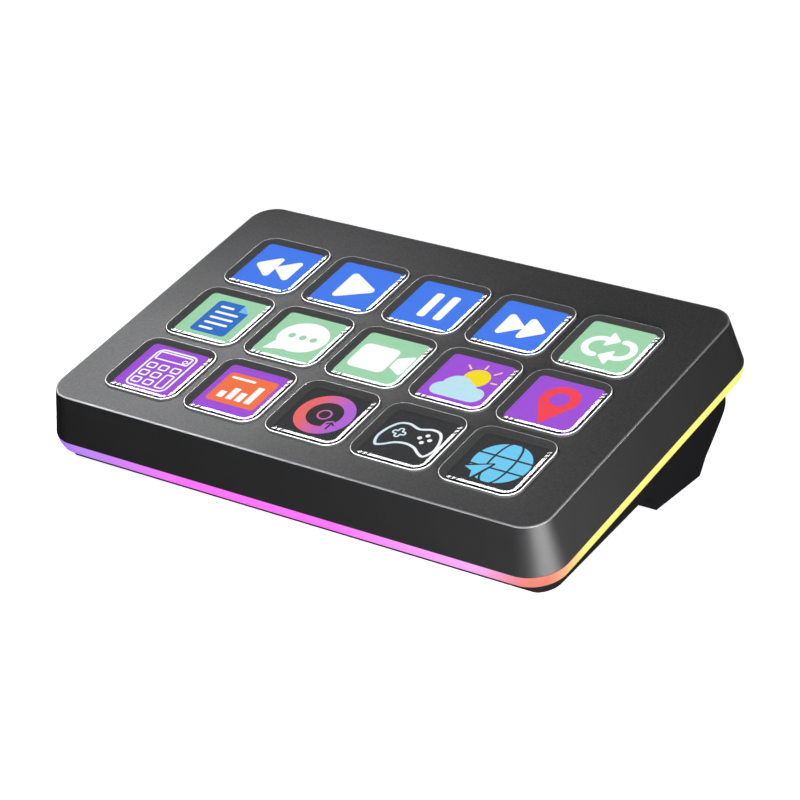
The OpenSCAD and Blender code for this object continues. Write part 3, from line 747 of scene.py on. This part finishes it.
def gamepad_picture():
    half = np.array([(2.6, 4.25), (4.7, 3.7), (6.0, 1.5), (6.5, -1.3), (5.6, -3.6), (4.2, -3.3), (2.2, -1.9)])
    body = flowing(np.vstack([[(0, 3.5)], half, [(0, -1.4)], half[::-1] * (-1, 1)]) + (0.05, 0))
    arm = [(0.45, 0.45, 0.1), (1.35, 0.5, 0.45), (1.35, -0.5, 0.45), (0.45, -0.45, 0.1)]
    ends, quarter = np.array(arm)[:, :2], np.array([[0, -1], [1, 0]])
    cross = np.concatenate([ends @ np.linalg.matrix_power(quarter, k) for k in range(4)])
    cross = rounded([(x - 3.05, y + 1.1, arm[i % 4][2]) for i, (x, y) in enumerate(cross)])
    around = ((1.15, 0), (-1.15, 0), (0, 1.15), (0, -1.15))
    dots = [filled(circle(2.8 + x, 1.15 + y, 0.5, 16)) for x, y in around]
    return "dark", [("pale", stroke(body, 0.6, closed=True) + stroke(cross, 0.38, closed=True) + dots)]


def globe_picture():
    t = np.radians(np.linspace(-76, 76, 24))
    bow, rise = 2.45 * np.cos(t * 0.8), 0.35 + 5.9 * np.sin(t) / np.sin(t[-1])
    paths = [[(-5.4, 2.1), (6.1, 2.1)], [(-5.4, -1.6), (6.1, -1.6)]]
    paths += [np.stack([0.4 + side * bow, rise], 1) for side in (-1, 1)]
    lines = [s for path in paths for s in stroke(path, 0.45)]
    cursor = rounded([(-0.9, -0.6, 0.1), (-5.7, -2.9, 0.1), (-3.65, -3.75, 0.05), (-2.9, -5.7, 0.1)])
    rim = rounded([
        (-0.2, 0.1, 0.3), (-6.2, -2.6, 0.1), (-4.1, -4.0, 0.05), (-3.0, -6.4, 0.1), (-2.4, -6.4, 0.1)
    ])
    return "dark", [
        ("sky", [filled(circle(0.4, 0.35, 6.0, 64))]), ("dark", lines),
        ("dark", [filled(rim, (-3.2, -3.2))]), ("sky", [filled(cursor, (-2.9, -3.2))])
    ]


PICTURES = [
    [rewind_picture, play_picture, pause_picture, forward_picture, cycle_picture],
    [page_picture, chat_picture, camera_picture, weather_picture, pin_picture],
    [sums_picture, slide_picture, dial_picture, gamepad_picture, globe_picture],
]


def key_centre(row, column):
    """A key's centre on the flat deck: whole pitches from the middle key's."""
    s = in_mm("shell")
    return (column - 3) * s.pitch, (2 - row) * s.pitch - s.shift


def each_key():
    """Every key's row, column and centre."""
    return [(row, column, key_centre(row, column)) for row in ROWS for column in COLUMNS]


# Operators


class CONTROLLER_OT_top_shell(bpy.types.Operator):
    """Adds the top shell: a grained face plate with fifteen windows and flared side walls"""
    bl_idname = "controller.top_shell"
    bl_label = "Add top shell"

    def execute(self, context):
        s = in_mm("shell")
        c = context.scene.controller_colours
        half, cell, hole = face_half(), s.pitch / 2, s.window / 2 - s.window_r
        turn = 12
        lines = np.linspace(-1, 1, 5) * hole

        # Half the field of cells, and where the cells' outlines meet its edge, as shares of that
        field_half = np.array([len(COLUMNS), len(ROWS)]) * s.pitch / 2
        t = np.linspace(0, np.pi / 2, turn + 1)[1:turn // 2]
        fan = hole + np.tan(t) * (cell - hole)
        edge = np.unique(np.round(np.concatenate([-fan, [-cell], lines, fan, [cell]]), 6))
        spread = [np.concatenate([edge + i * s.pitch for i in range(-n, n + 1)]) for n in (2, 1)]
        xs, ys = [np.unique(np.round(p, 4)) / size for p, size in zip(spread, field_half)]
        way = rail(ys, xs, 16)

        # The face ends where the arc of its edge begins, with some room to spare
        top_lip = s.face_r - 1.6 * s.edge_round
        steps = 6
        skirt = rounded([
            (top_lip, 0, 0), (s.face_r, 0, s.edge_round), (s.face_r + s.flare, -s.wall_h, s.foot_round),
            (s.face_r + s.flare - s.wall_t, -s.wall_h, s.foot_round), (s.face_r - s.wall_t, -s.plate_t, 0)
        ], steps)
        # The edge band with the painted highlight is the first point and the arc, which has one point more
        # than its steps
        bend = steps + 2
        under = ring_at(way, half, s.face_r - s.wall_t, -s.plate_t)
        field = [ring_at(way, field_half, 0, z, (0, -s.shift)) for z in (0, -s.plate_t)]
        parts = [
            patch(swept(way, half, skirt[:bend]), 2), patch(swept(way, half, skirt[bend - 1:]), 1),
            between(ring_at(way, half, top_lip, 0), field[0], 0), between(under, field[1], 1)
        ]

        window = rail(lines / hole, lines / hole, turn)
        # Each cell's outline is square: straight out beside the sides, and (cell - hole) / the larger part
        # of the direction in the corners
        beside = np.abs(window[0]).min(1) < 1 - 1e-9
        reach = np.where(beside, cell - hole, (cell - hole) / np.abs(window[1]).max(1))
        lip = s.window_r + 2 * s.window_round
        wall = rounded([(lip, 0, 0), (s.window_r, 0, s.window_round), (s.window_r, -s.plate_t, 0)], 3)
        for row, column, middle in each_key():
            tile = ring_at(window, hole, reach[:, None], 0, middle)
            low = ring_at(window, hole, s.window_r, -s.plate_t, middle)
            parts.append(between(tile, ring_at(window, hole, lip, 0, middle), 0))
            parts.append(patch(swept(window, hole, wall, middle), 0))
            parts.append(between(tile - (0, 0, s.plate_t), low, 1))
        # Plate: ABS moulded against a spark-eroded tool: an even, matte, fine grain
        plate = finished(
            "ABS, spark grained", c.plate, 0.55, 0.45, 0.05, spread=0.06, mottle=0.5, vary=0.22, ior=1.52
        )
        # Walls: ABS moulded against a stoned tool: smooth satin that shows soft highlights
        walls = finished("ABS, satin", c.wall, 0.46, 0.6, 0.002, spread=0.03, vary=0.06, ior=1.52)
        # Edge of the face: the same ABS, glossier along its turn, and lighter there as a painted highlight
        edge = finished("ABS, bright edge", c.edge, 0.3, 0.6, 0.002, spread=0.03, vary=0.06, ior=1.52)
        build("top_shell_skin", parts, "deck", "shell", ["top_shell"], [plate, walls, edge])
        return {"FINISHED"}


class CONTROLLER_OT_light_ring(bpy.types.Operator):
    """Adds the lit ring between the shells"""
    bl_idname = "controller.light_ring"
    bl_label = "Add light ring"

    def execute(self, context):
        r = in_mm("ring")
        t = np.linspace(0, 1, 9)[1:-1]
        face = [(r.reach - r.lean * u * u, -r.top - (r.foot - r.top) * u, 0) for u in t]
        profile = rounded([
            (r.inside, -r.lip_top, 0), (r.lip, -r.lip_top, 0), (r.lip, -r.top, 0), (r.reach, -r.top, r.edge),
            *face, (r.reach - r.lean, -r.foot, r.edge), (r.inside, -r.foot, 0)
        ], 3)
        way = rail(np.linspace(-1, 1, 9), np.linspace(-1, 1, 13), 14)
        grid = swept(way, face_half(), np.vstack([profile, profile[:1]]))
        build("light_ring_glow", [patch(grid)], "deck", "light_guide", ["light_ring"],
              [lit_polycarbonate(context.scene.controller_colours)])
        return {"FINISHED"}


class CONTROLLER_OT_base(bpy.types.Operator):
    """Dresses the bottom cover with its arched foot, its pads and its screws"""
    bl_idname = "controller.base"
    bl_label = "Dress base"

    def execute(self, context):
        c = context.scene.controller_colours
        # Bottom cover: ABS with a light spark grain, near black
        cover = finished(
            "ABS, fine grained black", c.base, 0.42, 0.5, 0.004, spread=0.05, vary=0.08, ior=1.52
        )
        smooth_copy("bottom_cover_skin", "bottom_cover", "base", cover, grow=0.17)
        # Pads: silicone rubber, moulded: dull, a little dusty
        rubber = finished("Silicone rubber, matte", linear("#1C1C1C"), 0.78, 0.3, 0.01, vary=0.2, ior=1.43)
        for node in ("front_pads", "rear_pads"):
            smooth_copy(node + "_skin", node, "pad_rubber", rubber)
        # Screws: zinc plated steel: bright, with fine turning marks
        steel = finished("Steel, zinc plated", linear("#B9BBBD"), 0.28, 0.25, 0.002, mottle=1.5, metallic=1.0)
        smooth_copy("case_screws_skin", "case_screws", "screw_steel", steel)
        # Socket: drawn stainless steel: smooth, with faint draw lines along its length
        drawn = finished(
            "Stainless steel, drawn", linear("#AFB1B4"), 0.24, 0.2, 0.002, stretch=(1, 0.1, 1), metallic=1.0
        )
        smooth_copy("usb_socket_skin", "usb_socket", "socket_steel", drawn)
        return {"FINISHED"}


class CONTROLLER_OT_keys(bpy.types.Operator):
    """Adds the fifteen clear key caps, each with a rim, a slope, a lens, a skirt and a flange"""
    bl_idname = "controller.keys"
    bl_label = "Add keys"

    def execute(self, context):
        k = in_mm("key")
        # Below its frosted edge the cap is masked: dark paint on the acrylic, dull and even, with a faint
        # painted glow for the light that the clear cap keeps off it
        masked = finished(
            "Acrylic, masked dark", linear("#3A3A3B"), 0.6, 0.5, 0.002, emission_color=paint("#FFFFFF"),
            emission_strength=0.05
        )
        # Dashes on the slope, black and dull: painted dark reflections, the dark glints in the clear cap's
        # corners
        painted_dark_reflection = finished("Ink, black", linear("#0C0C0D"), 0.5, 0.3, 0.001)
        acrylic = [clear_acrylic(), masked, frosted_edge_painted_glow(), painted_dark_reflection]
        half = k.size / 2 - k.corner
        stops = np.array([-1, -0.9, -0.81, -0.7, 0.7, 0.81, 0.9, 1])
        turn, steps = 14, 5
        way = rail(stops, stops, turn)
        lens, inner, flange = k.corner - k.rim - k.bevel, k.corner - k.skirt, k.corner + k.flange
        # The lens is flat, and this wide a strip of it beside the slope has points of its own
        flat = 0.4
        top = rounded([
            (lens - flat, k.lens, 0), (lens, k.lens, k.soft), (k.corner - k.rim, k.proud, k.soft),
            (k.corner, k.proud, k.edge), (k.corner, 0, 0)
        ], steps)
        skirt = rounded([
            (k.corner, 0, 0), (k.corner, -k.flange_top, k.soft), (flange, -k.flange_top, k.soft),
            (flange, -k.foot, k.soft), (inner, -k.foot, k.soft), (inner, -k.under, 0)
        ], steps)
        # The profile's last point but one ends the round edge, and the edge has one point more than its steps
        begins = -steps - 2
        # The slope is the strip that rises. Two dashes of painted dark reflection end its right side, and two
        # start its front
        clear_top = top[:begins + 1]
        finish = np.zeros((len(clear_top) - 1, len(way[0])), int)
        slope = np.flatnonzero(np.diff(clear_top[:, 1]) > (k.proud - k.lens) / 3)
        side, right_end = len(stops) + turn - 1, len(stops) - 4
        finish[np.ix_(slope, [right_end, right_end + 2, 3 * side, 3 * side + 2])] = 3
        for row, column, middle in each_key():
            clear = swept(way, half, clear_top, middle)
            dark = swept(way, half, np.vstack([top[-2:-1], skirt]), middle)
            parts = [
                patch(clear, finish.ravel()), closed_over(clear[0]),
                patch(swept(way, half, top[begins:-1], middle), 2), patch(dark, 1), closed_over(dark[-1])
            ]
            name = f"key_cap_{row}_{column}"
            build(name + "_clear", parts, f"key_{row}_{column}", "key_clear", [name], acrylic)
        return {"FINISHED"}


class CONTROLLER_OT_pictures(bpy.types.Operator):
    """Adds the picture that each key shows, as coloured films under its lens"""
    bl_idname = "controller.pictures"
    bl_label = "Add pictures"

    def execute(self, context):
        k, c = in_mm("key"), context.scene.controller_pictures
        used = [p.identifier for p in c.bl_rna.properties if getattr(p, "subtype", "") == "COLOR"]
        # White marks glow more than the colours do
        gains = {"white": 1.12}
        films = {n: lit_pixels(f"Display, {n}", getattr(c, n), gain=gains.get(n, 1)) for n in used}
        films["dial"] = lit_pixels("Display, coral to violet", c.coral, c.violet, key_centre(3, 3)[0])
        films["pale"] = lit_pixels("Display, pale blue to white", c.pale, c.white, key_centre(3, 4)[0])
        top = -k.under - k.gap
        way = rail([-1, 1], [-1, 1], 6)
        half = (k.picture_w / 2 - k.picture_r, k.picture_d / 2 - k.picture_r)
        for row, column, middle in each_key():
            middle = np.array(middle)
            ground, marks = PICTURES[row - 1][column - 1]()
            tints = [ground] + [n for n in dict.fromkeys(m[0] for m in marks) if n != ground]
            low = top - k.film * (len(marks) + 1)
            parts = [closed_over(ring_at(way, half, k.picture_r, low, middle + (k.picture_x, k.picture_y)))]
            for layer, (name, shapes) in enumerate(marks, 1):
                for shape in shapes:
                    loose = isinstance(shape, tuple)
                    flat = shape[1] if loose else shape
                    height = np.full((*flat.shape[:2], 1), low + layer * k.film)
                    grid = np.concatenate([flat + middle, height], 2)
                    parts.append(patch(grid, tints.index(name), closed=not loose))
            build(f"picture_{row}_{column}", parts, f"key_{row}_{column}", "display_glass", [],
                  [films[n] for n in tints], outward=False)
        return {"FINISHED"}


class CONTROLLER_OT_mat(bpy.types.Operator):
    """Adds the rubber mat: a sheet with windows, and under each key a soft collar"""
    bl_idname = "controller.mat"
    bl_label = "Add mat"

    def execute(self, context):
        k, m = in_mm("key"), in_mm("mat")
        # Silicone mat: dull and soft black
        silicone = finished("Silicone, black matte", linear("#1A1A1B"), 0.7, 0.4, 0.01, ior=1.43)
        smooth_copy("dome_mat_sheet", "dome_mat", "silicone", silicone, level=-m.top)
        half = k.size / 2 - k.corner
        out = k.corner + k.flange - m.inset
        way = rail(np.linspace(-1, 1, 3), np.linspace(-1, 1, 3), 10)
        profile = rounded([
            (out, -m.top, 0), (out, -m.collar_top, m.edge), (out - m.wall, -m.collar_top, m.edge),
            (out - m.wall, -m.top, 0)
        ], 3)
        for row, column, middle in each_key():
            grid = swept(way, half, np.vstack([profile, profile[:1]]), middle)
            collar = build(
                f"mat_collar_{row}_{column}", [patch(grid)], "deck", "silicone", [], [silicone]
            )
            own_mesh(collar)
        return {"FINISHED"}


class CONTROLLER_OT_inside(bpy.types.Operator):
    """Gives every part inside the shells its finish"""
    bl_idname = "controller.inside"
    bl_label = "Finish inside"

    def execute(self, context):
        board = circuit_board()
        # Screws inside: steel, zinc plated
        steel = finished("Steel, bright zinc", linear("#C2C4C6"), 0.3, 0.25, 0.002, mottle=1.5, metallic=1.0)
        looks = {
            "switch_board": board, "main_board": board, "led_bars": board,
            # Display glass: black and glossy
            "display_panel": finished(
                "Glass, black", linear("#0B0C10"), 0.06, 2.0, 0.0005, spread=0.02, ior=1.5
            ),
            # Carrier: glass filled nylon: dull, with a slight fibre grain
            "display_carrier": finished(
                "Nylon, glass filled", linear("#222224"), 0.6, 0.5, 0.02, stretch=(1, 4, 1)
            ),
            "carrier_screws": steel, "board_screws": steel,
            # Chips: moulding compound with a fine blasted face
            "board_chips": finished("Epoxy moulding compound", linear("#18181A"), 0.55, 0.2, 0.01),
            # Sockets: natural nylon, ivory and a little translucent
            "ribbon_sockets": finished("Nylon, natural", linear("#DAD6C8"), 0.45, 0.6, 0.004),
            # Ribbons: copper under amber polyimide film: glossy, with tracks along it
            "display_ribbon": finished(
                "Polyimide film", linear("#C8862B"), 0.25, 0.4, 0.01, stretch=(6, 1, 1)
            ),
            # LEDs: white moulded bodies
            "leds": finished("White polyamide, moulded", linear("#ECECE8"), 0.35, 0.5, 0.002),
        }
        looks["key_ribbon"] = looks["display_ribbon"]
        for node, material in looks.items():
            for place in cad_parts[node].material_slots:
                place.material = material
        return {"FINISHED"}


def softbox(name, place, target, width, height, watts, mirrored=True, lit=True, only=None, spread=180):
    """A soft rectangular light at a place that faces a target, and spreads by an angle in degrees. Glossy and
    clear surfaces show it or not, and dull ones are lit by it or not. It may light one collection only, as
    flags round it would make it do."""
    light = bpy.data.lights.new(name, "AREA")
    light.shape = "RECTANGLE"
    light.size, light.size_y, light.energy, light.spread = width, height, watts, np.radians(spread)
    lamp = bpy.data.objects.new(name, light)
    lamp.location = place
    lamp.rotation_euler = (Vector(target) - Vector(place)).to_track_quat("-Z", "Y").to_euler()
    lamp.visible_camera = False
    lamp.visible_glossy = lamp.visible_transmission = mirrored
    lamp.visible_diffuse = lit
    lamp.light_linking.receiver_collection = only
    bpy.context.scene.collection.objects.link(lamp)


class CONTROLLER_OT_stage(bpy.types.Operator):
    """Adds the pale floor, the soft studio light and the camera"""
    bl_idname = "controller.stage"
    bl_label = "Add stage"

    def execute(self, context):
        s = context.scene.controller_stage
        mesh = bpy.data.meshes.new("floor")
        corners = np.array([[-1, -1, 0], [1, -1, 0], [1, 1, 0], [-1, 1, 0]]) * s.floor / 2
        mesh.from_pydata(corners.tolist(), [], [[0, 1, 2, 3]])
        # Floor: white paper sweep, lit until it is plain white
        paper, tree, place = start("Paper sweep, white")
        fibres = add_node(tree, "TexNoise", {"Vector": place, "Scale": 1 / (2 * MM)})
        white = add_node(
            tree, "ValToRGB", {"Fac": fibres}, stops=[(0.3, linear("#FBFBFB")), (0.7, linear("#FFFFFF"))]
        )
        end(tree, add_node(tree, "BsdfPrincipled", {
            "Base Color": white, "Roughness": 0.9, "Specular IOR Level": 0.0,
            "Emission Color": paint("#FFFFFF"), "Emission Strength": 0.85
        }))
        mesh.materials.append(paper)
        floor = bpy.data.objects.new("floor", mesh)
        floor.visible_glossy = floor.visible_diffuse = floor.visible_shadow = False
        context.scene.collection.objects.link(floor)

        world = bpy.data.worlds.new("studio")
        world.use_nodes = True
        tree = world.node_tree
        tree.nodes.clear()
        up = add_node(tree, "SeparateXYZ", {"Vector": add_node(tree, "TexCoord").outputs["Generated"]})
        height = add_node(tree, "MapRange", {"Value": up.outputs[2], "From Min": -1.0, "From Max": 1.0})
        greys = ((0.3, "#191919"), (0.5, "#303030"), (0.75, "#505050"), (1.0, "#595959"))
        room = add_node(tree, "ValToRGB", {"Fac": height}, stops=[(at, linear(grey)) for at, grey in greys])
        seen = add_node(tree, "Background", {"Color": paint("#FFFFFF"), "Strength": 1.0})
        light = add_node(tree, "Background", {"Color": room, "Strength": 1.0})
        path = add_node(tree, "LightPath")
        # White behind the object, straight or through clear acrylic, but not in its inner reflections
        plain = add_node(tree, "Math", {0: path.outputs["Glossy Depth"], 1: 0.5}, operation="LESS_THAN")
        through = add_node(
            tree, "Math", {0: path.outputs["Is Transmission Ray"], 1: plain}, operation="MULTIPLY"
        )
        direct = add_node(
            tree, "Math", {0: path.outputs["Is Camera Ray"], 1: through}, operation="MAXIMUM"
        )
        mix = add_node(tree, "MixShader", {0: direct, 1: light, 2: seen})
        add_node(tree, "OutputWorld", {"Surface": mix})
        context.scene.world = world

        # Places in metres: the middle of the controller and its front right corner
        target = (0, 0, 0.02)
        front_corner = (0.05, -0.04, 0.01)
        shell, caps = [bpy.data.collections.new(slot) for slot in PICKED]
        softbox("overhead", (0.05, -0.05, 0.75), target, 0.5, 0.5, s.overhead, mirrored=False)
        softbox(
            "pool_light", (-0.04, -0.03, 0.12), (-0.04, -0.0299, 0), 0.06, 0.06, s.pool, mirrored=False,
            spread=80
        )
        softbox("corner_light", (0.387, -0.172, 0.0), target, 0.37, 0.36, s.corner, lit=False, only=shell)
        softbox("front_light", (0.2, -0.2, 0.02), front_corner, 0.1, 0.1, s.front, mirrored=False)
        softbox("near_light", (0.16, -0.13, 0.01), front_corner, 0.08, 0.08, s.near, mirrored=False)
        softbox("edge_light", (-0.24, -0.2, 0.34), target, 0.2, 0.1, s.edge, only=shell)
        softbox("back_light", (0.0, 0.5, 0.0), target, 0.5, 0.2, s.back, mirrored=False)
        softbox("left_light", (-0.45, 0.22, -0.03), target, 0.3, 0.08, s.left, mirrored=False)
        softbox("slope_light", (-0.323, 0.347, 0.13), target, 0.38, 0.22, s.slope, lit=False, only=caps)
        softbox("rim_light", (0.29, -0.36, 0.2), target, 0.2, 0.2, s.rim, mirrored=False, only=caps)

        view = bpy.data.cameras.new("camera")
        view.lens = s.lens
        view.sensor_width = 36
        view.clip_start, view.clip_end = 0.01, 20
        camera = bpy.data.objects.new("camera", view)
        camera.location = s.eye
        camera.rotation_euler = s.turn
        context.scene.collection.objects.link(camera)
        context.scene.camera = camera
        context.scene.view_settings.view_transform = "Standard"
        return {"FINISHED"}


class CONTROLLER_PT_panel(bpy.types.Panel):
    bl_idname = "CONTROLLER_PT_panel"
    bl_label = "Stream controller"
    bl_space_type = "VIEW_3D"
    bl_region_type = "UI"
    bl_category = "Controller"

    def draw(self, context):
        for step in STEPS:
            self.layout.operator(step.bl_idname)


GROUPS = {
    "controller_shell": ShellSizes, "controller_key": KeySizes, "controller_ring": RingSizes,
    "controller_mat": MatSizes, "controller_colours": ShellColours, "controller_pictures": PictureColours,
    "controller_stage": StageSizes,
}
STEPS = (
    CONTROLLER_OT_stage, CONTROLLER_OT_top_shell, CONTROLLER_OT_light_ring, CONTROLLER_OT_base,
    CONTROLLER_OT_keys, CONTROLLER_OT_pictures, CONTROLLER_OT_mat, CONTROLLER_OT_inside,
)


def register():
    for cls in (*GROUPS.values(), *STEPS, CONTROLLER_PT_panel):
        bpy.utils.register_class(cls)
    for name, cls in GROUPS.items():
        setattr(bpy.types.Scene, name, PointerProperty(type=cls))


def unregister():
    for name in GROUPS:
        delattr(bpy.types.Scene, name)
    for cls in (CONTROLLER_PT_panel, *reversed(STEPS), *reversed(GROUPS.values())):
        bpy.utils.unregister_class(cls)


def main():
    """Makes every piece in order."""
    register()
    for step in STEPS:
        area, name = step.bl_idname.split(".")
        getattr(getattr(bpy.ops, area), name)()


if __name__ == "__main__":
    main()
